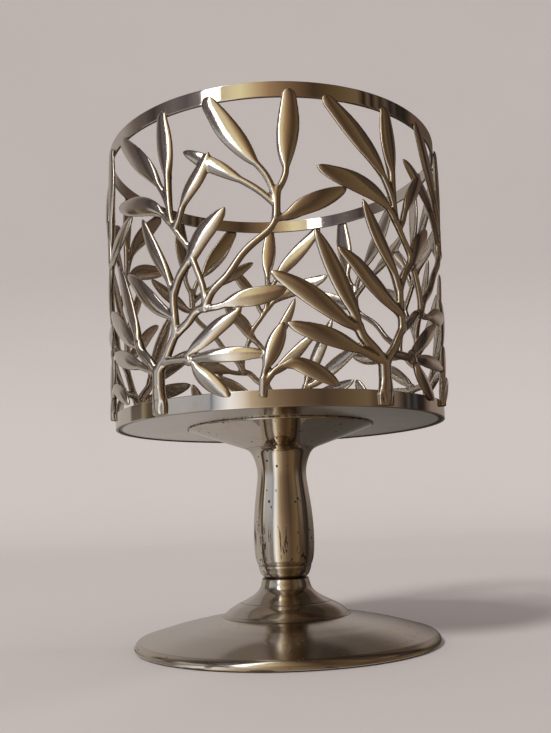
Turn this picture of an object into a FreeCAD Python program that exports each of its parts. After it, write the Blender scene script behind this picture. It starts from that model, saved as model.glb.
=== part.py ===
import FreeCAD, Part
import math
import os

# Footed jar candle holder in plated metal, all lengths in millimetres.
# The origin is the middle of the foot's resting face and +Z is up. The front
# faces -Y and lies between the roots of two leaf sprays.

V = FreeCAD.Vector
UP = V(0, 0, 1)
ORIGIN = V(0, 0, 0)

# Sleeve: two hoops with the sprays soldered between them
sleeve_radius = 55.0
sleeve_height = 91.4
hoop_wall = 0.95
top_hoop_height = 4.4
bottom_hoop_height = 4.9
hoop_edge_radius = 0.2

# Tray that closes the sleeve below, set just inside the lower hoop's edge
tray_thickness = 1.2
tray_recess = 0.3

# Foot: a cast, hollow cone with a neck, standing on a felt pad
foot_radius = 50.6
foot_height = 21.6
foot_neck_radius = 7.7
foot_wall = 1.7
foot_bead_height = 2.9
foot_ledge_width = 1.7
clamp_face_radius = 11.0
clamp_face_height = 12.0
felt_thickness = 1.0
felt_proud = 0.4
felt_clearance = 0.2

# Stem: one casting with a belly, a waist and a flared head under the tray
stem_length = 50.9
stem_belly_radius = 10.15
stem_base_radius = 7.4
head_radius = 31.0
head_rim = 0.5
head_crease_radius = 11.8
head_crease_drop = 7.1
solder_width = 0.6

# Fastening of the foot to the stem
thread_diameter = 6.0
stud_depth = 12.0
stud_tail = 0.8
bore_clearance = 0.4
cup_washer_radius = 10.0
cup_washer_thickness = 1.2
lock_washer_radius = 5.4
lock_washer_thickness = 1.6
lock_washer_gap = 1.0
nut_width = 10.0
nut_thickness = 5.0

# Leaf sprays: rods and domed leaves on the line of the hoops' outer face
spray_count = 5
front_turn_share = 0.4625
spray_proud = 0.25
jar_margin = 0.1
leaf_swell_fullness = 0.62
leaf_tip_onset = 4
leaf_dome = 1.25
leaf_back = 0.85
rod_depth_share = 0.9
stagger = 0.09
stagger_steps = 4
trunk_width = 3.6
trunk_root_width = 5.4
limb_width = 2.7
stem_width = 2.1
twig_width = 1.6

# Cuts run past what they cut by this much
overrun = 1.0

# Places that follow from the sizes above
foot_base = felt_proud
neck_z = foot_base + foot_height
tray_z = neck_z + stem_length
sleeve_z = tray_z - tray_recess
sleeve_top_z = sleeve_z + sleeve_height
hoop_inner_radius = sleeve_radius - hoop_wall
spray_radius = sleeve_radius + spray_proud
rod_inner_reach = spray_radius - hoop_inner_radius - jar_margin
clamp_z = foot_base + clamp_face_height
felt_radius = foot_radius - foot_wall - foot_ledge_width - felt_clearance
repeat_angle = 2 * math.pi / spray_count


def revolve(edges):
    """Solid of revolution about the Z axis from a closed run of edges in the XZ plane."""
    wire = Part.Wire(Part.__sortEdges__(edges))
    return Part.Face(wire).revolve(ORIGIN, UP, 360)


def polyline(points):
    """Edges through (radius, height) points, each joined to the next."""
    corners = [V(radius, 0, height) for radius, height in points]
    return [Part.LineSegment(a, b).toShape() for a, b in zip(corners, corners[1:])]


def curve(points):
    """One smooth edge through (radius, height) points."""
    line = Part.BSplineCurve()
    line.interpolate([V(radius, 0, height) for radius, height in points])
    return line.toShape()


def tube(outer, inner, height, z):
    """Straight ring between two radii."""
    ring = Part.makeCylinder(outer, height, V(0, 0, z))
    core = Part.makeCylinder(inner, height + 2 * overrun, V(0, 0, z - overrun))
    return ring.cut(core)


# Hoops
def hoop(height, z):
    """Rolled strip with its four edges eased."""
    ring = tube(sleeve_radius, hoop_inner_radius, height, z)
    return ring.makeFillet(hoop_edge_radius, circles(ring))


def circles(shape):
    """The round edges of a ring, without its seams."""
    return [edge for edge in shape.Edges if isinstance(edge.Curve, Part.Circle)]


# Tray
def tray_plate():
    """Flat disc soldered inside the lower hoop."""
    return Part.makeCylinder(hoop_inner_radius, tray_thickness, V(0, 0, tray_z))


# Stem
# Column from its base to the crease, as (share of belly radius, share of stem length)
column_shares = [
    (0.81, 0.026),
    (0.935, 0.110),
    (1.0, 0.222),
    (0.957, 0.352),
    (0.877, 0.503),
    (0.800, 0.668),
    (0.826, 0.722),
    (0.921, 0.798),
    (1.0, 0.832),
]


def stem():
    """Turned casting whose head flares under the tray, tapped from below."""
    crease = (head_crease_radius, tray_z - head_crease_drop)
    column = [(stem_base_radius, neck_z)]
    column += [(r * stem_belly_radius, neck_z + h * stem_length) for r, h in column_shares]
    column.append(crease)
    head = [crease, (head_radius, tray_z - head_rim), (head_radius, tray_z)]
    core = [(0, tray_z), (0, neck_z), column[0]]
    body = revolve([curve(column)] + polyline(head + core))
    tapped = Part.makeCylinder(thread_diameter / 2, stud_depth + overrun, V(0, 0, neck_z - overrun))
    return body.cut(tapped)


def head_solder():
    """Fillet of solder around the rim of the stem's head, against the tray."""
    corner = (head_radius, tray_z)
    low = (head_radius, tray_z - head_rim)
    wide = (head_radius + solder_width, tray_z)
    return revolve(polyline([corner, low, wide, corner]))


# Foot
# Neck down to its first turned line, as (share of foot radius, share of foot height)
neck_shares = [
    (0.160, 0.940),
    (0.172, 0.850),
    (0.204, 0.764),
    (0.296, 0.640),
]
shoulder_shares = [
    (0.296, 0.640),
    (0.364, 0.574),
    (0.415, 0.499),
]
skirt_shares = [
    (0.419, 0.480),
    (0.700, 0.310),
    (0.885, 0.196),
    (0.975, 0.134),
]
# Hollow under the skirt, from the clamp face outwards
hollow_shares = [
    (0.300, 0.515),
    (0.420, 0.400),
    (0.690, 0.222),
    (0.870, 0.110),
]


def foot_places(shares):
    """Foot shares as radii and heights."""
    return [(r * foot_radius, foot_base + h * foot_height) for r, h in shares]


def foot():
    """Hollow cast cone: neck, shoulder, skirt and a rounded rim with a ledge for the felt."""
    neck = [(foot_neck_radius, neck_z)] + foot_places(neck_shares)
    shoulder = foot_places(shoulder_shares)
    skirt = foot_places(skirt_shares)
    rim_top = skirt[-1]
    rim_mid = (foot_radius, foot_base + foot_bead_height / 2)
    rim_low = (foot_radius - felt_clearance, foot_base)
    bead = Part.Arc(V(rim_top[0], 0, rim_top[1]), V(rim_mid[0], 0, rim_mid[1]), V(rim_low[0], 0, rim_low[1]))
    ledge_radius = felt_radius + felt_clearance
    ledge_z = felt_thickness
    hollow = [(clamp_face_radius, clamp_z)] + foot_places(hollow_shares)
    inner_edge = (ledge_radius - foot_ledge_width, ledge_z)
    under = [rim_low, (ledge_radius, foot_base), (ledge_radius, ledge_z), inner_edge]
    under += hollow[::-1]
    under += [(0, clamp_z), (0, neck_z), neck[0]]
    edges = [curve(neck), curve(shoulder), curve(skirt), bead.toShape()]
    edges += polyline([shoulder[-1], skirt[0]]) + polyline(under)
    bore_radius = (thread_diameter + bore_clearance) / 2
    bore = Part.makeCylinder(bore_radius, foot_height + overrun, V(0, 0, clamp_z - overrun))
    return revolve(edges).cut(bore)


def felt_pad():
    """Round felt glued to the foot's ledge, a little proud of the rim."""
    return Part.makeCylinder(felt_radius, felt_thickness)


# Fastening
washer_z = clamp_z - cup_washer_thickness
lock_z = washer_z - lock_washer_thickness
nut_z = lock_z - nut_thickness


def foot_stud():
    """Threaded stud from the nut up into the stem."""
    low = nut_z - stud_tail
    return Part.makeCylinder(thread_diameter / 2, neck_z + stud_depth - low, V(0, 0, low))


def cup_washer():
    """Wide washer against the foot's clamp face."""
    return tube(cup_washer_radius, (thread_diameter + bore_clearance) / 2, cup_washer_thickness, washer_z)


def lock_washer():
    """Spring washer, split on one side."""
    ring = tube(lock_washer_radius, (thread_diameter + bore_clearance) / 2, lock_washer_thickness, lock_z)
    corner = V(0, -lock_washer_gap / 2, lock_z - overrun)
    height = lock_washer_thickness + 2 * overrun
    slit = Part.makeBox(lock_washer_radius + overrun, lock_washer_gap, height, corner)
    return ring.cut(slit)


def hex_nut():
    """Plain hexagon nut."""
    reach = nut_width / 2 / math.cos(math.pi / 6)
    turns = [k * math.pi / 3 for k in range(7)]
    corners = [V(reach * math.cos(turn), reach * math.sin(turn), nut_z) for turn in turns]
    prism = Part.Face(Part.makePolygon(corners)).extrude(UP * nut_thickness)
    height = nut_thickness + 2 * overrun
    return prism.cut(Part.makeCylinder(thread_diameter / 2, height, V(0, 0, nut_z - overrun)))


# Leaf spray
# Each rod: its width at the root and at the end, then its line. A place is a
# share of the turn from one spray to the next, and a share of the sleeve's height.
rod_shares = [
    (trunk_root_width, trunk_width, [(0.0, 0.012), (0.0, 0.040), (0.0, 0.075)]),
    (trunk_width, trunk_width, [(0.0, 0.060), (0.0, 0.110), (0.001, 0.148)]),
    (limb_width, limb_width, [(0.0, 0.128), (-0.030, 0.162), (-0.072, 0.192), (-0.110, 0.222),
                              (-0.124, 0.252)]),
    (limb_width, stem_width, [(0.0, 0.128), (0.012, 0.148), (0.043, 0.177), (0.075, 0.215),
                              (0.104, 0.252)]),
    (stem_width, stem_width, [(0.103, 0.240), (0.105, 0.275), (0.099, 0.335), (0.100, 0.388)]),
    (stem_width, stem_width, [(0.102, 0.247), (0.130, 0.262), (0.174, 0.286), (0.208, 0.311),
                              (0.244, 0.318)]),
    (stem_width, twig_width, [(0.236, 0.308), (0.252, 0.326), (0.272, 0.357), (0.338, 0.402),
                              (0.401, 0.461), (0.467, 0.506), (0.538, 0.555), (0.552, 0.585)]),
    (stem_width, stem_width, [(0.549, 0.572), (0.552, 0.600), (0.553, 0.632), (0.560, 0.670)]),
    (twig_width, twig_width, [(0.192, 0.486), (0.220, 0.430), (0.240, 0.385), (0.247, 0.345),
                              (0.242, 0.314)]),
    (twig_width, twig_width, [(0.194, 0.488), (0.176, 0.515), (0.141, 0.551), (0.110, 0.584),
                              (0.080, 0.612)]),
    (twig_width, stem_width, [(0.112, 0.580), (0.094, 0.618), (0.087, 0.659), (0.084, 0.705),
                              (0.083, 0.760)]),
    (stem_width, stem_width, [(0.012, 0.150), (0.032, 0.162), (0.079, 0.168), (0.130, 0.166),
                              (0.172, 0.163)]),
    (stem_width, stem_width, [(0.474, 0.030), (0.477, 0.060), (0.479, 0.090)]),
]

# Each leaf: rod width at its root, widest breadth, share of its line that is
# still rod, share of its breadth left at the tip, then its line from root to
# tip, in the same shares.
leaf_shares = [
    (stem_width, 4.2, 0.22, 0.25, [(-0.012, 0.140), (-0.081, 0.163), (-0.157, 0.184), (-0.237, 0.207),
                                   (-0.324, 0.227), (-0.426, 0.253)]),
    (stem_width, 4.3, 0.05, 0.25, [(-0.118, 0.238), (-0.164, 0.252), (-0.212, 0.277), (-0.267, 0.308),
                                   (-0.323, 0.338), (-0.385, 0.368), (-0.485, 0.412)]),
    (stem_width, 4.4, 0.05, 0.25, [(-0.122, 0.240), (-0.142, 0.293), (-0.169, 0.335), (-0.196, 0.378),
                                   (-0.223, 0.421), (-0.253, 0.470), (-0.299, 0.543)]),
    (stem_width, 4.5, 0.05, 0.40, [(0.100, 0.299), (0.055, 0.323), (0.013, 0.345), (-0.028, 0.372),
                                   (-0.072, 0.402), (-0.117, 0.436), (-0.205, 0.488)]),
    (stem_width, 3.5, 0.18, 0.20, [(0.100, 0.370), (0.075, 0.427), (0.020, 0.500), (-0.034, 0.573),
                                   (-0.080, 0.652)]),
    (stem_width, 4.4, 0.34, 0.25, [(0.100, 0.374), (0.137, 0.433), (0.190, 0.479), (0.219, 0.515),
                                   (0.253, 0.549), (0.288, 0.573), (0.349, 0.619)]),
    (twig_width, 5.0, 0.18, 0.35, [(0.090, 0.602), (0.050, 0.638), (0.026, 0.653), (-0.008, 0.669),
                                   (-0.062, 0.686), (-0.126, 0.701), (-0.191, 0.713), (-0.282, 0.736)]),
    (twig_width, 3.9, 0.30, 0.25, [(0.112, 0.578), (0.132, 0.598), (0.148, 0.628), (0.196, 0.692),
                                   (0.226, 0.720), (0.249, 0.744), (0.286, 0.799)]),
    (stem_width, 5.2, 0.05, 0.60, [(0.083, 0.745), (0.079, 0.790), (0.067, 0.878), (0.057, 0.970)]),
    (twig_width, 5.4, 0.24, 0.62, [(0.088, 0.650), (0.064, 0.695), (0.038, 0.730), (-0.019, 0.790),
                                   (-0.069, 0.829), (-0.126, 0.872), (-0.184, 0.915), (-0.241, 0.960)]),
    (twig_width, 5.9, 0.24, 0.60, [(0.558, 0.655), (0.580, 0.683), (0.593, 0.710), (0.596, 0.744),
                                   (0.612, 0.866), (0.619, 0.976)]),
    (twig_width, 5.9, 0.33, 0.62, [(0.5535, 0.622), (0.516, 0.704), (0.463, 0.756), (0.412, 0.808),
                                   (0.362, 0.860), (0.316, 0.915), (0.269, 0.970)]),
    (twig_width, 3.3, 0.38, 0.40, [(0.552, 0.612), (0.487, 0.659), (0.400, 0.704), (0.332, 0.738),
                                   (0.280, 0.762), (0.237, 0.784), (0.161, 0.819)]),
    (twig_width, 4.7, 0.10, 0.22, [(0.548, 0.571), (0.589, 0.577), (0.644, 0.601), (0.709, 0.624),
                                   (0.781, 0.649), (0.851, 0.675)]),
    (twig_width, 4.2, 0.25, 0.25, [(0.238, 0.314), (0.300, 0.315), (0.349, 0.323), (0.398, 0.332),
                                   (0.454, 0.336), (0.510, 0.342), (0.588, 0.360)]),
    (twig_width, 3.6, 0.05, 0.25, [(0.150, 0.166), (0.190, 0.195), (0.232, 0.216), (0.274, 0.238),
                                   (0.315, 0.259), (0.363, 0.280), (0.404, 0.305)]),
    (twig_width, 3.4, 0.06, 0.25, [(0.156, 0.163), (0.190, 0.164), (0.260, 0.166), (0.357, 0.166),
                                   (0.440, 0.164), (0.513, 0.159)]),
    (twig_width, 4.0, 0.12, 0.35, [(0.160, 0.163), (0.185, 0.150), (0.208, 0.125), (0.239, 0.101),
                                   (0.278, 0.076), (0.343, 0.040)]),
    (twig_width, 3.2, 0.15, 0.25, [(0.477, 0.060), (0.479, 0.083), (0.488, 0.116), (0.501, 0.140),
                                   (0.529, 0.189), (0.568, 0.256)]),
    (twig_width, 3.3, 0.32, 0.35, [(0.482, 0.068), (0.503, 0.090), (0.533, 0.113), (0.565, 0.124),
                                   (0.600, 0.129), (0.649, 0.117), (0.697, 0.100), (0.785, 0.058)]),
]

SECTION_POINTS = 8
SEAM_SHARE = 0.3
ROD_STATIONS = 6
LEAF_STATIONS = 11


def flat_curve(places):
    """A line on the unrolled sleeve: X runs around it, Z up it."""
    line = Part.BSplineCurve()
    points = [V(t * repeat_angle * spray_radius, 0, sleeve_z + h * sleeve_height) for t, h in places]
    line.interpolate(points)
    return line


def section(line, share, half_width, dome, back, lift):
    """Oval across the line, bent to the sleeve's curve, as a closed wire in one plane."""
    start, end = line.FirstParameter, line.LastParameter
    at = line.parameterAtDistance(line.length() * share, start) if share < 1 else end
    place = line.value(at)
    along = line.tangent(at)[0]
    angle = place.x / spray_radius - math.pi / 2
    outward = V(math.cos(angle), math.sin(angle), 0)
    around = V(-math.sin(angle), math.cos(angle), 0)
    middle = outward * (spray_radius + lift) + UP * place.z
    across = around * -along.z + UP * along.x
    points = []
    for k in range(SECTION_POINTS):
        turn = 2 * math.pi * (k + SEAM_SHARE) / SECTION_POINTS
        side = half_width * math.cos(turn)
        rise = math.sin(turn) * (dome if math.sin(turn) > 0 else back)
        droop = (side * along.z) ** 2 / (2 * spray_radius)
        points.append(middle + across * side + outward * (rise - droop))
    ring = Part.BSplineCurve()
    ring.interpolate(Points=points, PeriodicFlag=True, Parameters=list(range(SECTION_POINTS + 1)))
    return Part.Wire(ring.toShape())


def rod(lift, root_width, end_width, places):
    """Round rod along a line, from one width to another."""
    line = flat_curve(places)
    wires = []
    for k in range(ROD_STATIONS):
        share = k / (ROD_STATIONS - 1)
        half = (root_width + (end_width - root_width) * share) / 2
        depth = min(half, trunk_width / 2) * rod_depth_share
        wires.append(section(line, share, half, depth, min(depth, rod_inner_reach), lift))
    return Part.makeLoft(wires, True)


def leaf(lift, rod_width, breadth, rod_share, tip_share, places):
    """Domed leaf that swells from its rod and closes to a blunt tip."""
    line = flat_curve(places)
    wires = []
    for k in range(LEAF_STATIONS):
        share = k / (LEAF_STATIONS - 1)
        blade = max(share - rod_share, 0) / (1 - rod_share)
        swell = math.sin(math.pi * blade) ** leaf_swell_fullness if 0 < blade < 1 else 0
        shank = rod_width / 2 * (1 - blade)
        tip = tip_share * blade ** leaf_tip_onset
        half = math.hypot(shank, swell * breadth / 2, tip * breadth / 2)
        thin = rod_width / 2 * rod_depth_share
        fill = min(1, swell + blade)
        dome = thin + (leaf_dome - thin) * fill * (1 - blade ** 3 / 2)
        back = thin + (leaf_back - thin) * fill * (1 - blade ** 3 / 2)
        wires.append(section(line, share, half, dome, back, lift))
    return Part.makeLoft(wires, True)


def turned(shape, turns):
    """A copy turned about Z by some spray pitches."""
    copy = shape.copy()
    copy.rotate(ORIGIN, UP, math.degrees(turns * repeat_angle))
    return copy


def lifts(start):
    """Small steps in and out, so that neighbouring rods and leaves overlap as in a hand-made spray."""
    return [(start + k) % stagger_steps * stagger for k in range(len(rod_shares) + len(leaf_shares))]


def raw_spray():
    """All rods and leaves of one spray as one solid."""
    rods = [rod(lift, *row) for lift, row in zip(lifts(0), rod_shares)]
    leaves = [leaf(lift, *row) for lift, row in zip(lifts(len(rods)), leaf_shares)]
    return rods[0].multiFuse(rods[1:] + leaves)


def spray_places(hoops):
    """The sprays around the sleeve, let into the hoops and into each other where they touch."""
    whole = raw_spray()
    fitted = whole.cut(hoops + [turned(whole, 1)])
    return [turned(fitted, front_turn_share + k) for k in range(spray_count)]


def main():
    os.makedirs("parts", exist_ok=True)
    low_hoop = hoop(bottom_hoop_height, sleeve_z)
    high_hoop = hoop(top_hoop_height, sleeve_top_z - top_hoop_height)
    parts = {
        "bottom_hoop": low_hoop,
        "top_hoop": high_hoop,
        "tray_plate": tray_plate(),
        "stem": stem(),
        "head_solder": head_solder(),
        "foot": foot(),
        "felt_pad": felt_pad(),
        "foot_stud": foot_stud(),
        "cup_washer": cup_washer(),
        "lock_washer": lock_washer(),
        "hex_nut": hex_nut(),
    }
    for number, spray in enumerate(spray_places([low_hoop, high_hoop]), start=1):
        parts[f"leaf_spray_{number}"] = spray
    for name, shape in parts.items():
        shape.exportStep(f"parts/{name}.step")
        print(name, shape.isValid(), len(shape.Solids), round(shape.Volume, 1))


main()
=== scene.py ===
"""Footed jar holder: the finished look of its pieces around the fixed CAD frame."""

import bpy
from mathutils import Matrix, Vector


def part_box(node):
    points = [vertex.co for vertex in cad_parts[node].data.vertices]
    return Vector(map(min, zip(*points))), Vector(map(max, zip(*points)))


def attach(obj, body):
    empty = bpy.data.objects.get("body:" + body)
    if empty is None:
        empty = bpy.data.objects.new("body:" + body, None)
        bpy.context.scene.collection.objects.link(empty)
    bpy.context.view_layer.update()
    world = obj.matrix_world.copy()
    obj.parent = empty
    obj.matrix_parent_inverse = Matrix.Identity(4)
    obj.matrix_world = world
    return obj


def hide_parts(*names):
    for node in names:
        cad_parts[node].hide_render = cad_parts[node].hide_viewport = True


bl_info = {
    "name": "Footed jar holder",
    "version": (1, 0, 0),
    "blender": (4, 5, 0),
    "location": "View3D > Sidebar > Holder",
    "description": "Hoops, cast leaf sprays, tray, stem and foot of a candle holder, with their metal finishes",
    "category": "Add Mesh",
}

import math

import bpy
import numpy as np
from bpy.props import FloatProperty, FloatVectorProperty, IntProperty, PointerProperty
from mathutils import Matrix, Vector

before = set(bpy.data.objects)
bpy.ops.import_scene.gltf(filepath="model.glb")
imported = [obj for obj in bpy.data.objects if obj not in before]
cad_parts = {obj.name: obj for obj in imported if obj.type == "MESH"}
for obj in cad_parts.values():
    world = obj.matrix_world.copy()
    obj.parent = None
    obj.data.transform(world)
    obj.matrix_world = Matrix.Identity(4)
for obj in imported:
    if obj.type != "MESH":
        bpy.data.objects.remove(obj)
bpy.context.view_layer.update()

TURN = 2 * math.pi

hoop_low, hoop_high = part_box("bottom_hoop")
top_low, top_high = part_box("top_hoop")
tray_low, tray_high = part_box("tray_plate")
stem_low, stem_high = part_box("stem")
solder_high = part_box("head_solder")[1]
foot_low, foot_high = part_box("foot")
felt_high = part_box("felt_pad")[1]

SLEEVE_RADIUS = hoop_high.x
SLEEVE_Z = hoop_low.z
SLEEVE_HEIGHT = top_high.z - hoop_low.z
TRAY_Z = tray_low.z
TRAY_RADIUS = tray_high.x
STEM_LENGTH = stem_high.z - stem_low.z
HEAD_RADIUS = stem_high.x
FOOT_RADIUS = foot_high.x
FOOT_HEIGHT = foot_high.z - foot_low.z


# Settings

class HolderSleeve(bpy.types.PropertyGroup):
    """Sizes of the openwork sleeve."""

    hoop_wall: FloatProperty(
        name="Hoop wall", description="Thickness of the rolled strip of both hoops",
        default=0.00095, min=0.0004, max=0.003, unit="LENGTH")
    hoop_edge: FloatProperty(
        name="Hoop edge", description="Radius of the eased edges of the strip",
        default=0.00022, min=0.00005, max=0.0004, unit="LENGTH")
    spray_count: IntProperty(
        name="Sprays", description="How many equal leaf sprays stand around the sleeve",
        default=5, min=5, max=5)
    spray_proud: FloatProperty(
        name="Spray stand-off", description="How far the middle of the rods lies outside the hoops",
        default=0.00025, min=0.0, max=0.001, unit="LENGTH")
    first_azimuth: FloatProperty(
        name="First trunk", description="Where the first spray's trunk stands, from the front towards +X",
        default=math.radians(33.3), unit="ROTATION")
    cast_grain: FloatProperty(
        name="Cast grain", description="Size of the cells in which the rods and leaves are melted together",
        default=0.000295, min=0.0002, max=0.001, unit="LENGTH")


class HolderFinish(bpy.types.PropertyGroup):
    """Colours of the metals and the felt."""

    nickel: FloatVectorProperty(
        name="Nickel", description="Polished plating of the hoops, tray and foot",
        subtype="COLOR", size=3, default=(0.66, 0.60, 0.525), min=0, max=1)
    cast_nickel: FloatVectorProperty(
        name="Cast nickel", description="Satin plating of the leaves and rods",
        subtype="COLOR", size=3, default=(0.62, 0.56, 0.49), min=0, max=1)
    brass: FloatVectorProperty(
        name="Brass", description="Brass that shows where the plating is thin",
        subtype="COLOR", size=3, default=(0.60, 0.45, 0.24), min=0, max=1)
    # Colour of the tarnish in hollows, also used for painted shade on edge faces and in the gaps between parts
    tarnish_and_shade: FloatVectorProperty(
        name="Tarnish", description="Dark film in hollows and beside joints",
        subtype="COLOR", size=3, default=(0.10, 0.075, 0.055), min=0, max=1)
    tin: FloatVectorProperty(
        name="Solder", description="Grey solder of the seams",
        subtype="COLOR", size=3, default=(0.42, 0.40, 0.37), min=0, max=1)
    felt: FloatVectorProperty(
        name="Felt", description="Felt under the foot",
        subtype="COLOR", size=3, default=(0.16, 0.035, 0.028), min=0, max=1)


class HolderStage(bpy.types.PropertyGroup):
    """Floor, backdrop and light."""

    floor: FloatVectorProperty(
        name="Floor", description="Plain pale floor and backdrop",
        subtype="COLOR", size=3, default=(0.53, 0.495, 0.485), min=0, max=1)
    sky_level: FloatProperty(
        name="Sky level", description="Strength of the even light from all sides",
        default=1.0, min=0.0, max=2.0)
    lamp_level: FloatProperty(
        name="Lamp level", description="Strength of the main lamp",
        default=2.3, min=0.0, max=10.0)


# Surfaces

def run_along(points):
    """Length of each step between points, and the run up to each point."""
    steps = np.linalg.norm(np.diff(points, axis=0), axis=1)
    return steps, np.concatenate([[0], np.cumsum(steps)])


def natural_spline(points, count):
    """Smooth line through points, read at count even steps of its length.

    Between two neighbours the place is a cubic in the chord length; its bend
    runs straight from one point's value to the next and is nil at both ends.
    """
    points = np.asarray(points, float)
    steps, knots = run_along(points)
    n = len(knots)
    system = np.zeros((n, n))
    system[0, 0] = system[-1, -1] = 1
    inner = np.arange(1, n - 1)
    system[inner, inner - 1] = steps[:-1]
    system[inner, inner] = 2 * (steps[:-1] + steps[1:])
    system[inner, inner + 1] = steps[1:]
    rise = np.zeros_like(points)
    rise[1:-1] = 6 * np.diff(np.diff(points, axis=0) / steps[:, None], axis=0)
    bend = np.linalg.solve(system, rise)

    def place(at):
        k = np.clip(np.searchsorted(knots, at, side="right") - 1, 0, n - 2)
        step = steps[k][:, None]
        after = (at - knots[k])[:, None]
        before = (knots[k + 1] - at)[:, None]
        curved = (bend[k] * before ** 3 + bend[k + 1] * after ** 3) / (6 * step)
        straight = (points[k] / step - bend[k] * step / 6) * before
        straight += (points[k + 1] / step - bend[k + 1] * step / 6) * after
        return curved + straight

    fine = np.linspace(0, knots[-1], 40 * n)
    length = run_along(place(fine))[1]
    return place(np.interp(np.linspace(0, length[-1], count), length, fine))


def grid_faces(rows, columns, wrap_rows, wrap_columns):
    """Quads of a grid of points counted row by row, joined round where it wraps."""
    r, c = np.indices((rows if wrap_rows else rows - 1, columns if wrap_columns else columns - 1))
    down, across = (r + 1) % rows, (c + 1) % columns
    corners = [r * columns + c, r * columns + across, down * columns + across, down * columns + c]
    return np.stack(corners, -1).reshape(-1, 4)


def fan_faces(ring, pole):
    """Triangles from each step of a closed ring of points to one pole."""
    return np.stack([ring, np.roll(ring, -1), np.full_like(ring, pole)], -1)


def capped(rings, poles):
    """Points, quads and triangles of a closed tube: rings of points, then a pole for each end."""
    rows, columns = rings.shape[:2]
    ring = np.arange(columns)
    ends = [fan_faces(ring[::-1], rows * columns), fan_faces((rows - 1) * columns + ring, rows * columns + 1)]
    points = np.concatenate([rings.reshape(-1, 3), poles])
    return points, grid_faces(rows, columns, False, True), np.concatenate(ends)


def volume_sign(points, quads, triangles):
    """Sign of the enclosed volume: the sum over faces of corner . (corner x corner)."""
    a, b, c = points[np.concatenate([quads[:, :3], quads[:, [0, 2, 3]], triangles])].transpose(1, 0, 2)
    return np.sign(np.einsum("ij,ij->i", a, np.cross(b, c)).sum())


def mesh_piece(name, points, quads, triangles=None, outward=True):
    """New object at the origin from whole arrays of points and faces, turned outwards."""
    points = points.reshape(-1, 3)
    triangles = np.zeros((0, 3), int) if triangles is None else triangles
    if outward and volume_sign(points, quads, triangles) < 0:
        quads, triangles = quads[:, ::-1], triangles[:, ::-1]
    mesh = bpy.data.meshes.new(name)
    mesh.from_pydata(points.tolist(), [], quads.tolist() + triangles.tolist())
    mesh.polygons.foreach_set("use_smooth", np.ones(len(mesh.polygons), bool))
    mesh.update()
    piece = bpy.data.objects.new(name, mesh)
    bpy.context.scene.collection.objects.link(piece)
    return piece


def around(radius, azimuth, z):
    """Points on rings about Z: azimuth runs from the front, -Y, towards +X."""
    return np.stack(np.broadcast_arrays(radius * np.sin(azimuth), -radius * np.cos(azimuth), z), -1)


def turned_rings(profile, azimuth, sway):
    """Rings of points round the axis: row i, column j at radius_i, height_i and azimuth_j.

    Sway, where given, moves radius and height by a function of both and the azimuth.
    """
    radius, z = (np.repeat(profile[:, k][:, None], len(azimuth), 1) for k in (0, 1))
    if sway is not None:
        radius, z = sway(radius, z, azimuth[None, :])
    return around(radius, azimuth[None, :], z)


def turned_solid(name, profile, columns, sway=None):
    """Solid of revolution from a (radius, height) profile that starts and ends on the axis."""
    profile = np.asarray(profile, float)
    rings = turned_rings(profile[1:-1], np.arange(columns) * TURN / columns, sway)
    poles = np.array([[0, 0, profile[0, 1]], [0, 0, profile[-1, 1]]])
    return mesh_piece(name, *capped(rings, poles))


def turned_ring(name, profile, azimuth, sway=None):
    """Ring from a closed (radius, height) profile carried round the given azimuths."""
    points = turned_rings(np.asarray(profile, float), azimuth, sway)
    return mesh_piece(name, points, grid_faces(len(profile), len(azimuth), True, True))


def eased(corners, radius, steps=6):
    """Closed outline of a convex polygon whose corners are quarter-rounded to a radius.

    Each corner is swept by a quadratic from radius before it to radius after it.
    """
    corners = np.asarray(corners, float)
    before = np.roll(corners, 1, 0) - corners
    after = np.roll(corners, -1, 0) - corners
    before *= radius / np.linalg.norm(before, axis=1)[:, None]
    after *= radius / np.linalg.norm(after, axis=1)[:, None]
    t = np.linspace(0, 1, steps)[None, :, None]
    middle = corners[:, None]
    arcs = (middle + before[:, None]) * (1 - t) ** 2 + middle * 2 * t * (1 - t)
    return (arcs + (middle + after[:, None]) * t ** 2).reshape(-1, 2)


def filled_in(outline, step):
    """Closed outline with its long straight runs cut into even steps."""
    parts = []
    for a, b in zip(outline, np.roll(outline, -1, 0)):
        count = max(1, math.ceil(np.linalg.norm(b - a) / step))
        parts.append(a + (b - a) * np.linspace(0, 1, count, endpoint=False)[:, None])
    return np.concatenate(parts)


def wave(azimuth, z, seed, turns, pitch):
    """Sum of four slow waves round the ring and up it, between about -1 and 1."""
    rng = np.random.default_rng(seed)
    total = 0
    for k in range(4):
        count = rng.integers(turns // 2, turns + turns // 2 + 1)
        tilt = rng.uniform(-1, 1) * TURN / pitch
        total = total + np.sin(azimuth * count + z * tilt + rng.uniform(0, TURN)) / 4
    return total


def read_all(rows, label, width, kind=np.float32):
    """One value of each row of a mesh, as an array."""
    values = np.empty(len(rows) * width, kind)
    rows.foreach_get(label, values)
    return values.reshape(-1, width)


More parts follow.
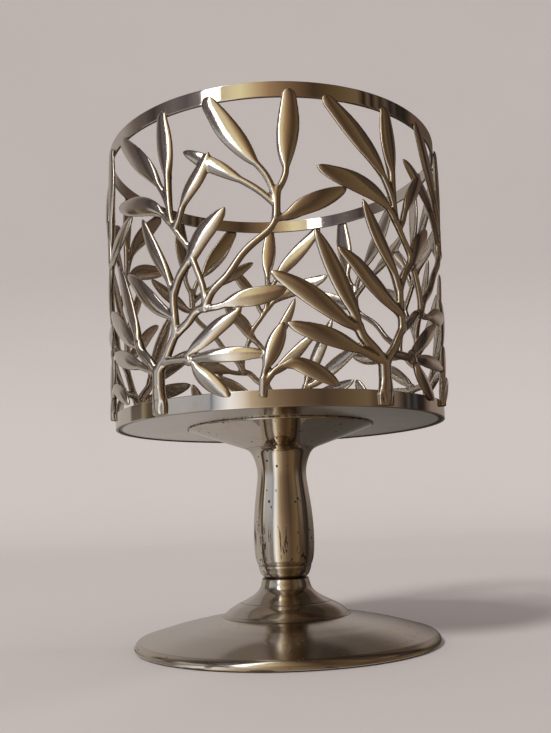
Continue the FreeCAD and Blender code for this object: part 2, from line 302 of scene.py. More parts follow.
def store_shape(mesh, reach, rounds=3):
    """Attributes for the finishes: hollow, ridge and facing, from 0 to 1.

    The bend at a point is how far the mean of its neighbours lies along its
    normal, over the square of their distance, evened out over some rounds;
    reach is the bend radius that counts as full. Facing is 1 where the skin
    looks away from the axis.
    """
    points, normals = read_all(mesh.vertices, "co", 3), read_all(mesh.vertex_normals, "vector", 3)
    edges = read_all(mesh.edges, "vertices", 2, np.int32)
    ends, others = edges.T.ravel(), edges[:, ::-1].T.ravel()
    degree = np.maximum(np.bincount(ends, minlength=len(points)), 1)

    def mean(values):
        return np.bincount(ends, weights=values, minlength=len(points)) / degree

    steps = points[others] - points[ends]
    along = mean(np.einsum("ij,ij->i", steps, normals[ends]))
    square = mean(np.einsum("ij,ij->i", steps, steps))
    bend = 4 * along / np.maximum(square, 1e-12)
    for _ in range(rounds):
        bend = (bend + mean(bend[others])) / 2
    bend = bend * reach
    flat = np.linalg.norm(points[:, :2], axis=1).clip(1e-6)
    facing = np.einsum("ij,ij->i", normals[:, :2], points[:, :2]) / flat
    for label, values in (("hollow", bend), ("ridge", -bend), ("facing", facing / 2 + 0.5)):
        layer = mesh.attributes.new(label, "FLOAT", "POINT")
        layer.data.foreach_set("value", np.clip(values, 0, 1).astype(np.float32))


# Finishes

def node(tree, kind, inputs=None, **options):
    """One shader node with its options, and its inputs set to numbers or joined to sockets."""
    made = tree.nodes.new(kind)
    for key, value in options.items():
        setattr(made, key, value)
    for key, value in (inputs or {}).items():
        if isinstance(value, bpy.types.NodeSocket):
            tree.links.new(value, made.inputs[key])
        else:
            made.inputs[key].default_value = value
    return made


def empty_material(name):
    """Material without nodes, and its tree."""
    material = bpy.data.materials.new(name)
    material.use_nodes = True
    material.node_tree.nodes.clear()
    return material, material.node_tree


class Finish:
    """Material in the making: its shader, and the places that its patterns follow.

    The places are the Object coordinates and, in them, the distance from the
    axis, the azimuth from the front and the height.
    """

    def __init__(self, name, metallic=1.0):
        self.colours = bpy.context.scene.holder_finish
        self.material, self.tree = empty_material(name)
        self.shader = self.node("ShaderNodeBsdfPrincipled", {"Metallic": metallic})
        self.node("ShaderNodeOutputMaterial", {0: self.shader.outputs[0]})
        self.place = self.node("ShaderNodeTexCoord").outputs["Object"]
        self.axes = tuple(self.node("ShaderNodeSeparateXYZ", {0: self.place}).outputs)
        x, y, self.z = self.axes
        flat = self.node("ShaderNodeCombineXYZ", {0: x, 1: y}).outputs[0]
        self.radius = self.node("ShaderNodeVectorMath", {0: flat}, operation="LENGTH").outputs["Value"]
        self.azimuth = self.math("ARCTAN2", x, self.times(y, -1.0))

    def node(self, kind, inputs=None, **options):
        """One node of this material."""
        return node(self.tree, kind, inputs, **options)

    def math(self, operation, a, b=0.0):
        """One Math node's result."""
        return self.node("ShaderNodeMath", {0: a, 1: b}, operation=operation).outputs[0]

    def times(self, a, b):
        """Product of two values."""
        return self.math("MULTIPLY", a, b)

    def total(self, first, *others):
        """Sum of all the values."""
        for value in others:
            first = self.math("ADD", first, value)
        return first

    def most(self, first, *others):
        """Largest of all the values."""
        for value in others:
            first = self.math("MAXIMUM", first, value)
        return first

    def rest(self, value):
        """What is left of 1."""
        return self.math("SUBTRACT", 1.0, value)

    def away(self, value, middle):
        """Distance of a value from a middle one."""
        return self.math("ABSOLUTE", self.math("SUBTRACT", value, middle))

    def ramp(self, value, low, high, to_low=0.0, to_high=1.0):
        """A value carried from one range to another with soft ends."""
        inputs = {"Value": value, "From Min": low, "From Max": high, "To Min": to_low, "To Max": to_high}
        return self.node("ShaderNodeMapRange", inputs, interpolation_type="SMOOTHSTEP").outputs["Result"]

    def blend(self, share, a, b):
        """Mix of two colours."""
        colours = {6: a, 7: b}
        for key, value in colours.items():
            if not isinstance(value, bpy.types.NodeSocket):
                colours[key] = (*value, 1)
        return self.node("ShaderNodeMix", {0: share, **colours}, data_type="RGBA").outputs[2]

    def shades(self, share, colour, dark, light):
        """Mix of a darker and a lighter shade of one colour."""
        return self.blend(share, *([min(1, level * c) for c in colour] for level in (dark, light)))

    def plated(self, cloud, colour, dark, light, overlay, thin=None):
        """Cloudy plating with brass where it is thin, under a darkening in the tarnish colour that holds tarnish
        and, where a finish adds it, painted shade.
        """
        colour = self.shades(cloud, colour, dark, light)
        if thin is not None:
            colour = self.blend(thin, colour, self.colours.brass)
        return self.blend(overlay, colour, self.colours.tarnish_and_shade)

    def uneven(self, cloud, low, high, *parts):
        """Roughness that goes with a noise from low to high, and each (value, share) added."""
        level = self.ramp(cloud, 0.3, 0.7, low, high)
        return self.total(level, *(self.times(value, share) for value, share in parts))

    def attribute(self, label):
        """A stored point value."""
        return self.node("ShaderNodeAttribute", attribute_name=label).outputs["Fac"]

    def noise(self, scale, detail=2.0, rough=0.5, distortion=0.0, place=None):
        """Noise value between 0 and 1."""
        inputs = {"Vector": place or self.place, "Scale": scale, "Detail": detail, "Roughness": rough}
        return self.node("ShaderNodeTexNoise", {**inputs, "Distortion": distortion}).outputs["Fac"]

    def stretched(self, values, scales, *settings):
        """Noise at a place made of three values, each times its own scale."""
        inputs = {k: self.times(value, scale) for k, (value, scale) in enumerate(zip(values, scales))}
        return self.noise(1.0, *settings, place=self.node("ShaderNodeCombineXYZ", inputs).outputs[0])

    def ringed(self, scales, *settings):
        """Noise stretched along azimuth, distance from the axis and height."""
        return self.stretched((self.azimuth, self.radius, self.z), scales, *settings)

    def specks(self, scale, size, patches, low, high):
        """Round specks, 1 in each and 0 between, only where the noise of the patches is high."""
        inputs = {"Vector": self.place, "Scale": scale, "Randomness": 1.0}
        cells = self.node("ShaderNodeTexVoronoi", inputs, feature="F1").outputs["Distance"]
        return self.times(self.ramp(cells, size, size * 0.55), self.ramp(self.noise(*patches), low, high))

    def done(self, colour, roughness, *layers):
        """Joins up the shader, with one Bump node for each (height, depth in metres)."""
        sockets = {"Base Color": colour, "Roughness": roughness}
        for height, depth in layers:
            inputs = {"Height": height, "Distance": depth, "Strength": 1.0}
            if "Normal" in sockets:
                inputs["Normal"] = sockets["Normal"]
            sockets["Normal"] = self.node("ShaderNodeBump", inputs).outputs["Normal"]
        for key, value in sockets.items():
            self.tree.links.new(value, self.shader.inputs[key])
        return self.material


def mirror_nickel(name):
    """Buffed plating: fine lines round the ring, faint smears, few pits, with painted shade on the strip's edge
    faces and in the gap below the tray.
    """
    it = Finish(name)
    smear = it.ringed((14, 300, 260), 4, 0.55)
    lines = it.ringed((5, 9000, 9000), 3, 0.6)
    sparse = it.specks(900, 0.16, (120,), 0.52, 0.66)
    # Painted shade on the strip's top and bottom faces, which face neither out nor in
    cut = it.times(it.ramp(it.away(it.attribute("facing"), 0.5), 0.30, 0.05), 0.8)
    # Painted shade on the hoop's inner face in the gap below the tray
    beside = it.ramp(it.radius, TRAY_RADIUS + 0.0003, TRAY_RADIUS)
    gap_shade = it.times(it.ramp(it.z, TRAY_Z + 0.0002, TRAY_Z), beside)
    # dark holds tarnish in hollows and pits, together with the painted shade of the edge faces and the gap
    dark = it.most(it.times(it.attribute("hollow"), 0.85), sparse, gap_shade, cut)
    thin = it.ramp(smear, 0.60, 0.74, 0, 0.25)
    colour = it.plated(it.noise(55, 3), it.colours.nickel, 0.93, 1.06, dark, thin)
    rough = it.ramp(smear, 0.3, 0.75, 0.015, 0.06)
    rough = it.total(rough, it.times(lines, 0.02), it.times(dark, 0.35))
    return it.done(colour, rough, (lines, 8e-7), (it.rest(sparse), 3e-5))


def satin_nickel(name):
    """Tumbled casting: bright faces, painted shade on the edges that face sideways, tarnish in the hollows, faint
    dimples.
    """
    it = Finish(name)
    dimple = it.noise(420, 2, 0.45)
    grain = it.noise(5200, 3, 0.6)
    cloud = it.noise(130, 3, 0.55)
    speck = it.specks(1100, 0.18, (210,), 0.56, 0.68)
    hollow = it.ramp(it.attribute("hollow"), 0.10, 0.65)
    # Painted shade on the edges that face sideways
    side = it.ramp(it.away(it.attribute("facing"), 0.5), 0.26, 0.04)
    overlay = it.most(it.times(hollow, 0.75), speck)
    thin = it.times(it.ramp(cloud, 0.50, 0.72), 0.20)
    colour = it.shades(cloud, it.colours.cast_nickel, 0.92, 1.08)
    colour = it.blend(thin, colour, it.colours.brass)
    # The painted edge shade, in the tarnish colour made half as bright again
    colour = it.blend(it.times(side, 0.75), colour, [1.5 * c for c in it.colours.tarnish_and_shade])
    colour = it.blend(overlay, colour, it.colours.tarnish_and_shade)
    rough = it.uneven(cloud, 0.08, 0.14, (grain, 0.04), (overlay, 0.2))
    return it.done(colour, rough, (dimple, 3e-5), (grain, 1.2e-6), (it.rest(speck), 4e-5))


def sheet_nickel(name):
    """Rolled sheet: long fine lines one way, cloudy plating, a few scratches, and painted shade at the rim next to
    the hoop.
    """
    it = Finish(name)
    rolled = it.stretched(it.axes, (60, 5200, 60), 3, 0.6)
    cloud = it.noise(48, 4, 0.6)
    scratch = it.ramp(it.stretched(it.axes, (900, 45, 900), 1, 0.5, 1.2), 0.70, 0.76)
    speck = it.specks(700, 0.15, (90,), 0.50, 0.66)
    # Painted shade on the tray's rim, where it meets the hoop
    rim = it.ramp(it.radius, TRAY_RADIUS - 0.0016, TRAY_RADIUS - 0.0007)
    overlay = it.most(it.times(rim, 0.95), speck)
    colour = it.plated(cloud, it.colours.nickel, 0.80, 0.98, overlay)
    rough = it.uneven(cloud, 0.09, 0.17, (rolled, 0.04), (overlay, 0.3))
    return it.done(colour, rough, (rolled, 1.5e-6), (scratch, -4e-6), (it.rest(speck), 2e-5))


def cast_column(name):
    """Polished casting with pits, upright streaks, dark scratches at the belly and painted shade at its base."""
    it = Finish(name)
    streak = it.ringed((9, 200, 35), 4, 0.6)
    rings = it.ringed((0.6, 2500, 2500), 2, 0.5)
    cloud = it.noise(85, 4, 0.6)
    speck = it.specks(420, 0.24, (75, 3), 0.47, 0.58)
    belly = it.ramp(it.away(it.z, stem_low.z + 0.21 * STEM_LENGTH), 0.0085, 0.0035)
    belly_marks_and_base_shade = it.times(it.ramp(it.ringed((4.2, 300, 95), 5, 0.6, 0.8), 0.565, 0.58), belly)
    # Painted shade at the base, where the stem meets the foot
    belly_marks_and_base_shade = it.most(belly_marks_and_base_shade, it.ramp(it.z, stem_low.z + 0.0006, stem_low.z + 0.0001))
    overlay = it.most(it.times(belly_marks_and_base_shade, 0.95), speck, it.times(it.attribute("hollow"), 0.6))
    thin = it.ramp(streak, 0.48, 0.70, 0, 0.35)
    colour = it.plated(cloud, it.colours.nickel, 0.90, 1.05, overlay, thin)
    rough = it.uneven(streak, 0.02, 0.06, (overlay, 0.3))
    return it.done(colour, rough, (rings, 1.5e-6), (cloud, 4e-5), (it.rest(overlay), 4e-5))


def turned_nickel(name):
    """Turned and buffed cone: rings from the lathe, specks, fine scratches, a chafed rim, and painted shade at the
    top of the neck.
    """
    it = Finish(name)
    rings = it.ringed((0.8, 3600, 900), 4, 0.65)
    bands = it.ringed((0.5, 420, 100), 3, 0.5)
    cloud = it.noise(42, 4, 0.6)
    scratch = it.ramp(it.away(it.ringed((55, 120, 120), 2, 0.5, 2), 0.5), 0.006, 0.001)
    scratch = it.times(scratch, it.ramp(it.noise(60), 0.52, 0.6))
    speck = it.specks(520, 0.15, (70,), 0.48, 0.62)
    # Painted shade at the top of the neck, where the foot meets the stem
    gap_shade = it.ramp(it.z, foot_high.z - 0.0005, foot_high.z - 0.0001)
    rim = it.ramp(it.z, foot_low.z + 0.0026, foot_low.z + 0.0018)
    chafe = it.times(it.ramp(it.ringed((3.5, 420, 420), 3, 0.5), 0.57, 0.62, 0, 0.8), rim)
    overlay = it.most(speck, gap_shade, chafe, it.times(it.attribute("hollow"), 0.5))
    thin = it.ramp(bands, 0.50, 0.72, 0, 0.35)
    colour = it.plated(cloud, it.colours.nickel, 0.70, 0.84, overlay, thin)
    rough = it.uneven(cloud, 0.11, 0.18, (rings, 0.03), (overlay, 0.2))
    layers = [(rings, 1.2e-6), (bands, 6e-6), (scratch, -4e-6), (it.rest(speck), 3e-5)]
    return it.done(colour, rough, *layers)


def soft_solder(name):
    """Dull lumpy solder with bright wiped spots and dark flux in its pits."""
    it = Finish(name)
    lump = it.noise(700, 3, 0.6)
    grain = it.noise(3500, 3, 0.6)
    flux = it.ramp(it.noise(330, 4, 0.65), 0.50, 0.62)
    colour = it.plated(lump, it.colours.tin, 0.8, 1.35, flux)
    return it.done(colour, it.uneven(lump, 0.24, 0.42, (flux, 0.2)), (lump, 0.0002), (grain, 6e-6))


def zinc_steel(name):
    """Zinc-plated fastener: pale, slightly blue and yellow in clouds, turned lines."""
    it = Finish(name)
    cloud = it.noise(260, 3, 0.6)
    lines = it.ringed((3, 6000, 6000), 2, 0.5)
    colour = it.blend(it.ramp(cloud, 0.35, 0.65), (0.44, 0.46, 0.50), (0.55, 0.51, 0.42))
    return it.done(colour, it.uneven(cloud, 0.26, 0.42), (lines, 4e-6))


def wool_felt(name):
    """Pressed felt: matted fibres in two directions, cloudy dye, pale lint."""
    it = Finish(name, 0.0)
    across = it.stretched(it.axes, (2600, 480, 2600), 4, 0.7, 1.5)
    along = it.stretched(it.axes, (480, 2600, 2600), 4, 0.7, 1.5)
    fibres = it.most(across, along)
    colour = it.shades(it.ramp(fibres, 0.40, 0.75), it.colours.felt, 0.55, 1.5)
    colour = it.blend(it.times(it.noise(140, 3, 0.6), 0.4), colour, it.colours.felt)
    lint = it.ramp(it.noise(1500, 1), 0.74, 0.80)
    colour = it.blend(it.times(lint, 0.5), colour, (0.45, 0.36, 0.33))
    it.shader.inputs["Sheen Weight"].default_value = 0.35
    it.shader.inputs["Sheen Roughness"].default_value = 0.5
    return it.done(colour, it.uneven(fibres, 1, 0.86), (fibres, 0.00012))


def place_piece(piece, material, slot, *nodes):
    """Gives a piece its finish and its body, and hides the CAD nodes that it stands for."""
    piece.data.materials.clear()
    piece.data.materials.append(material)
    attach(piece, "root")
    if nodes:
        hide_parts(*nodes)
    return piece


# Leaf sprays

TRUNK_ROOT, TRUNK, LIMB, STEM, TWIG = 0.0046, 0.0036, 0.0027, 0.0021, 0.0016

# Each rod: width at its root and end, then its line in thousandths of the turn
# between two sprays and of the sleeve's height
RODS = [
    (0.0026, TRUNK_ROOT, [(0, 3), (0, 30), (0, 58)]),
    (TRUNK_ROOT, TRUNK, [(0, 50), (0, 68), (0, 90)]),
    (0.0010, 0.0012, [(-27, 4), (-29, 30), (-21, 64)]),
    (0.0010, 0.0012, [(27, 4), (29, 30), (21, 64)]),
    (TRUNK, TRUNK, [(0, 60), (0, 110), (1, 148)]),
    (LIMB, LIMB, [(0, 128), (-30, 162), (-72, 192), (-110, 222), (-124, 252)]),
    (LIMB, STEM, [(0, 128), (12, 148), (43, 177), (75, 215), (104, 252)]),
    (STEM, STEM, [(103, 240), (105, 275), (99, 335), (100, 388)]),
    (STEM, STEM, [(102, 247), (130, 262), (174, 286), (208, 311), (244, 318)]),
    (STEM, TWIG, [(236, 308), (252, 326), (272, 357), (338, 402), (401, 461), (467, 506), (538, 555),
        (552, 585)]),
    (STEM, STEM, [(549, 572), (552, 600), (553, 632), (560, 670)]),
    (TWIG, TWIG, [(192, 486), (220, 430), (240, 385), (247, 345), (242, 314)]),
    (TWIG, TWIG, [(194, 488), (176, 515), (141, 551), (110, 584), (80, 612)]),
    (TWIG, STEM, [(112, 580), (94, 618), (87, 659), (84, 705), (83, 760)]),
    (STEM, STEM, [(12, 150), (32, 162), (79, 168), (130, 166), (172, 163)]),
    (STEM, STEM, [(474, 30), (477, 60), (479, 90)]),
]

# Each leaf: rod width at its root, widest breadth, share of its line that is still
# rod, share of its breadth left at the tip, then its line from root to tip
LEAVES = [
    (STEM, 0.0046, 0.27, 0.25, [(-12, 140), (-81, 163), (-157, 184), (-237, 207), (-324, 227), (-426, 253)]),
    (STEM, 0.0050, 0.08, 0.25, [(-118, 238), (-164, 252), (-212, 277), (-267, 308), (-323, 338), (-385, 368),
        (-485, 412)]),
    (STEM, 0.0045, 0.05, 0.25, [(-122, 240), (-142, 293), (-169, 335), (-196, 378), (-223, 421), (-253, 470),
        (-299, 543)]),
    (STEM, 0.0044, 0.05, 0.40, [(100, 299), (55, 323), (13, 345), (-28, 372), (-72, 402), (-117, 436),
        (-205, 488)]),
    (STEM, 0.0035, 0.18, 0.20, [(100, 370), (75, 427), (20, 500), (-34, 573), (-80, 652)]),
    (STEM, 0.0049, 0.34, 0.28, [(100, 374), (137, 433), (190, 479), (219, 515), (253, 549), (288, 573),
        (349, 619)]),
    (TWIG, 0.0052, 0.14, 0.35, [(90, 602), (50, 638), (26, 653), (-8, 669), (-62, 686), (-126, 701),
        (-191, 713), (-282, 736)]),
    (TWIG, 0.0040, 0.30, 0.25, [(112, 578), (132, 598), (148, 628), (196, 692), (226, 720), (249, 744),
        (286, 799)]),
    (STEM, 0.0050, 0.05, 0.72, [(83, 745), (79, 790), (67, 878), (57, 970)]),
    (TWIG, 0.0053, 0.24, 0.78, [(88, 650), (64, 695), (38, 730), (-19, 790), (-69, 829), (-126, 872),
        (-184, 915), (-241, 960)]),
    (TWIG, 0.0057, 0.24, 0.74, [(558, 655), (580, 683), (593, 710), (596, 744), (612, 866), (619, 976)]),
    (TWIG, 0.0058, 0.33, 0.78, [(553.5, 622), (516, 704), (463, 756), (412, 808), (362, 860), (316, 915),
        (269, 970)]),
    (TWIG, 0.0037, 0.38, 0.42, [(552, 612), (487, 659), (400, 704), (332, 738), (280, 762), (237, 784),
        (161, 819)]),
    (TWIG, 0.0047, 0.08, 0.22, [(548, 571), (589, 577), (644, 601), (709, 624), (781, 649), (851, 675)]),
    (TWIG, 0.0047, 0.25, 0.25, [(238, 314), (300, 315), (349, 323), (398, 332), (454, 336), (510, 342),
        (588, 360)]),
    (TWIG, 0.0040, 0.10, 0.25, [(150, 166), (190, 195), (232, 216), (274, 238), (315, 259), (363, 280),
        (404, 305)]),
    (TWIG, 0.0036, 0.08, 0.25, [(156, 163), (190, 164), (260, 166), (357, 166), (440, 164), (513, 159)]),
    (TWIG, 0.0043, 0.14, 0.38, [(160, 163), (185, 150), (208, 125), (239, 101), (278, 76), (343, 40)]),
    (TWIG, 0.0043, 0.28, 0.25, [(477, 60), (479, 83), (488, 116), (501, 140), (529, 189), (568, 256)]),
    (TWIG, 0.0040, 0.32, 0.35, [(478, 61), (503, 90), (533, 113), (565, 124), (600, 129), (649, 117),
        (697, 100), (785, 58)]),
]

# Small knobs of solder and cut-off casting gates: place in the same thousandths, then radius
KNOBS = [(161, 178, 0.0014), (165, 160, 0.0016), (240, 316, 0.0014), (194, 489, 0.0011), (549, 575, 0.0013)]

SECTION = 20
LAYERS, LAYER_STEP = 4, 0.00009
LEAF_DOME, LEAF_BACK, EDGE = 0.00112, 0.00085, 0.0003
LEAF_FULLNESS, TIP_ONSET, TIP_ROUNDED = 0.58, 4, 0.09

KNOB_DEPTH, KNOB_LIFT = 0.75, 0.0002

# What the softening takes off the rods' and the leaves' half widths
ROD_LOSS, LEAF_LOSS = 0.0002, 0.0004


def wrapped(x, z, out):
    """Points of the unrolled sleeve: x is the arc at the rods' radius, out the distance beyond it."""
    radius = SLEEVE_RADIUS + bpy.context.scene.holder_sleeve.spray_proud
    return around(radius + out, x / radius, z)


def to_sleeve(shares):
    """Thousandths of the turn between two sprays and of the height, as metres on the unrolled sleeve."""
    sleeve = bpy.context.scene.holder_sleeve
    pitch = TURN / sleeve.spray_count * (SLEEVE_RADIUS + sleeve.spray_proud)
    return np.asarray(shares, float) / 1000 * (pitch, SLEEVE_HEIGHT) + (0, SLEEVE_Z)


def carried_section(line, half, dome, back, lift, square):
    """Closed tube whose section is carried along a line of the unrolled sleeve.

    At each step the section's side is half * cos^(2/square), and it rises by
    dome * sin outwards and by back * sin^0.7 inwards, with its edge rounded by
    the last part of both. Returns points, quads and triangles.
    """
    along = np.gradient(line, axis=0)
    along /= np.linalg.norm(along, axis=1)[:, None]
    angle = np.arange(SECTION) * TURN / SECTION + math.pi / SECTION
    cosine, sine = np.cos(angle)[None, :], np.sin(angle)[None, :]
    edge = np.minimum(EDGE, np.minimum(half, back) / 2)[:, None]
    side = (half[:, None] - edge) * np.sign(cosine) * np.abs(cosine) ** (2 / square)[:, None] + edge * cosine
    out, inward = (dome[:, None] - edge) * np.abs(sine), (edge - back[:, None]) * np.abs(sine) ** 0.7
    rise = np.where(sine > 0, out, inward) + edge * sine
    x = line[:, :1] - along[:, 1:] * side
    z = line[:, 1:] + along[:, :1] * side
    return capped(wrapped(x, z, lift + rise), wrapped(line[[0, -1], 0], line[[0, -1], 1], lift))


def rod_shape(row, lift):
    """Round rod that goes evenly from one width to another."""
    root, end, shares = row
    line = natural_spline(to_sleeve(shares), 28)
    share = np.linspace(0, 1, len(line))
    half = (root + (end - root) * share) / 2 + ROD_LOSS
    depth = np.minimum(half, TRUNK / 2) * 0.9
    return carried_section(line, half, depth, depth, lift, np.full(len(line), 2.0))


def leaf_shape(row, lift):
    """Domed leaf along its line, whose blade takes the share b of it from 0 to 1.

    Half its breadth is the root of the squares of rod * (1 - b), of breadth *
    sin(pi b)^fullness and of breadth * tip * b^onset, rounded off at the end.
    """
    width, breadth, rod_share, tip_share, shares = row
    line = natural_spline(to_sleeve(shares), 64)
    share = np.linspace(0, 1, len(line))
    blade = np.clip((share - rod_share) / (1 - rod_share), 0, 1)
    swell = np.sin(math.pi * blade).clip(0) ** LEAF_FULLNESS
    end = np.sqrt(np.clip(1 - ((share - 1 + TIP_ROUNDED) / TIP_ROUNDED).clip(0) ** 2, 0.02, 1))
    rod, wide = width / 2 + ROD_LOSS, breadth / 2 + LEAF_LOSS
    tip = tip_share * wide * blade ** TIP_ONSET
    half = np.sqrt((rod * (1 - blade)) ** 2 + (swell * wide) ** 2 + tip ** 2) * end
    full = np.minimum(1, swell + blade)
    taper = (1 - blade ** 3 / 2.2) * end
    dome = (rod + (LEAF_DOME - rod) * full) * taper
    back = (rod + (LEAF_BACK - rod) * full) * taper
    return carried_section(line, half, dome, back, lift, 2 - 0.3 * swell)


def knob_shape(x, z, radius):
    """Small ball on the rods, flattened outwards: radius * sin and cos of a sphere's two angles."""
    turn = np.arange(16)[None, :] * TURN / 16
    fall = np.linspace(0, math.pi, 12)[1:-1, None]
    middle = to_sleeve([(x, z)])[0]
    across, up = radius * np.sin(fall) * np.cos(turn), radius * np.sin(fall) * np.sin(turn)
    out = KNOB_DEPTH * radius * np.cos(fall) + KNOB_LIFT
    ends = np.array([1, -1]) * KNOB_DEPTH * radius + KNOB_LIFT
    rings = wrapped(middle[0] + across, middle[1] + up, out)
    return capped(rings, wrapped(middle[[0, 0]], middle[[1, 1]], ends))


def melted_spray():
    """One spray at azimuth 0: all rods, leaves and knobs melted into one skin and softened."""
    lifts = np.arange(len(RODS) + len(LEAVES)) % LAYERS * LAYER_STEP
    shapes = [rod_shape(row, lift) for row, lift in zip(RODS, lifts)]
    shapes += [leaf_shape(row, lift) for row, lift in zip(LEAVES, lifts[len(RODS):])]
    shapes += [knob_shape(*row) for row in KNOBS]
    starts = np.cumsum([0] + [len(points) for points, _, _ in shapes])
    points = np.concatenate([shape[0] for shape in shapes])
    quads, triangles = (
        np.concatenate([shape[k] + start for shape, start in zip(shapes, starts)]) for k in (1, 2))
    raw = mesh_piece("raw_spray", points, quads, triangles, outward=False)
    melt = raw.modifiers.new("melt", "REMESH")
    melt.mode = "VOXEL"
    melt.voxel_size = bpy.context.scene.holder_sleeve.cast_grain
    soften = raw.modifiers.new("soften", "SMOOTH")
    soften.factor = 0.5
    soften.iterations = 8
    view = bpy.context.evaluated_depsgraph_get()
    mesh = bpy.data.meshes.new_from_object(raw.evaluated_get(view))
    bpy.data.objects.remove(raw)
    return mesh


# Operators

class HOLDER_OT_sprays(bpy.types.Operator):
    """Five equal cast leaf sprays, one every 72 degrees."""

    bl_idname = "holder.sprays"
    bl_label = "Leaf sprays"

    def execute(self, context):
        sleeve = context.scene.holder_sleeve
        mesh = melted_spray()
        if len(mesh.polygons) < 1000:
            raise RuntimeError("the spray's skin came out empty")
        mesh.polygons.foreach_set("use_smooth", np.ones(len(mesh.polygons), bool))
        store_shape(mesh, 0.0016)
        material = satin_nickel("leaf_metal")
        for k in range(sleeve.spray_count):
            own = mesh.copy()
            own.name = f"cast_spray_{k + 1}"
            own.transform(Matrix.Rotation(sleeve.first_azimuth + k * TURN / sleeve.spray_count, 4, "Z"))
            piece = bpy.data.objects.new(own.name, own)
            context.scene.collection.objects.link(piece)
            place_piece(piece, material, "leaf_metal", f"leaf_spray_{k + 1}")
        bpy.data.meshes.remove(mesh)
        return {"FINISHED"}


# Each hoop: name, azimuth of its butt seam, seed of its waves, then its low and high edge
HOOPS = [
    ("bottom", math.radians(152), 3, hoop_low.z, hoop_high.z),
    ("top", math.radians(-73), 8, top_low.z, top_high.z),
]
SEAM_REACH, SEAM_HALF_WIDTH, SEAM_DEPTH = 0.012, 0.0001, 0.00016
NICK_DEPTH, NICK_RISE = 0.00025, 0.0005
HOOP_INSET, HOOP_STEP, HOOP_WAVE = 0.00002, 0.0004, 0.000016


def hoop_sway(seed, seam):
    """Slow waves of a hand-rolled strip, and the nick of its butt seam."""
    def sway(radius, z, azimuth):
        middle = radius.mean()
        radius = radius + HOOP_WAVE * wave(azimuth, z, seed, 14, 0.03)
        groove = np.exp(-((azimuth - seam) * middle / SEAM_HALF_WIDTH) ** 2)
        low = (z - z.min()) / (z.max() - z.min())
        depth = SEAM_DEPTH + NICK_DEPTH * np.exp(-(low / 0.12) ** 2)
        rise = NICK_RISE * np.exp(-(low / 0.10) ** 2)
        return radius - np.sign(radius - middle) * groove * depth, z + groove * rise
    return sway


def hoop_azimuths(seam):
    """Even steps round the hoop, with fine ones across its seam."""
    coarse = np.linspace(seam + SEAM_REACH, seam + TURN - SEAM_REACH, 640)
    return np.concatenate([np.linspace(seam - SEAM_REACH, seam + SEAM_REACH, 60)[1:-1], coarse])


class HOLDER_OT_hoops(bpy.types.Operator):
    """Top and bottom hoop of rolled strip."""

    bl_idname = "holder.hoops"
    bl_label = "Hoops"

    def execute(self, context):
        sleeve = context.scene.holder_sleeve
        inner, outer = SLEEVE_RADIUS - sleeve.hoop_wall, SLEEVE_RADIUS - HOOP_INSET
        material = mirror_nickel("hoop_metal")
        for end, seam, seed, low, high in HOOPS:
            outline = eased([(outer, low), (outer, high), (inner, high), (inner, low)], sleeve.hoop_edge)
            outline = filled_in(outline, HOOP_STEP)
            piece = turned_ring(f"rolled_hoop_{end}", outline, hoop_azimuths(seam), hoop_sway(seed, seam))
            store_shape(piece.data, 0.0004, 1)
            place_piece(piece, material, "hoop_metal", f"{end}_hoop")
        return {"FINISHED"}


# Edges and waves of the tray's sheet
TRAY_EDGE, TRAY_CHAMFER, TRAY_WAVE = 0.00022, 0.0003, 0.00003


class HOLDER_OT_tray(bpy.types.Operator):
    """Flat tray plate inside the lower hoop."""

    bl_idname = "holder.tray"
    bl_label = "Tray"

    def execute(self, context):
        rim = TRAY_RADIUS
        low = [(r, TRAY_Z) for r in np.linspace(0, rim - TRAY_EDGE, 40)]
        side = [(rim, TRAY_Z + TRAY_EDGE), (rim, TRAY_Z + 0.0007), (rim - 0.0001, tray_high.z)]
        high = [(r, tray_high.z) for r in np.linspace(rim - TRAY_CHAMFER, 0, 40)]

        def sway(radius, z, azimuth):
            calm = np.clip(1 - radius / rim, 0, 1)
            under = z < TRAY_Z + 0.0001
            return radius, z + TRAY_WAVE * wave(azimuth, radius, 5, 4, 0.05) * calm * under

        piece = turned_solid("tray_disc", low + side + high, 240, sway)
        store_shape(piece.data, 0.0004, 1)
        place_piece(piece, sheet_nickel("sheet_metal"), "sheet_metal", "tray_plate")
        return {"FINISHED"}


# Column from its base to the crease, as shares of the belly's radius and of the stem's length
COLUMN = [
    (0.672, 0.0), (0.765, 0.018), (0.873, 0.071), (0.941, 0.116), (0.990, 0.183), (1.0, 0.236), (0.998, 0.295),
    (0.968, 0.403), (0.907, 0.515), (0.833, 0.625), (0.806, 0.692), (0.853, 0.758), (0.931, 0.804), (1.074, 0.847),
]
BELLY_RADIUS = 0.0102
COLLAR_RISE, COLLAR_WIDTH, COLLAR_DEPTH = 0.0043, 0.0003, 0.00016
STEM_LEAN, STEM_WAVE = 0.00005, 0.000035
CREASE = (0.0120, 0.0071)
HEAD_RIM = 0.0005


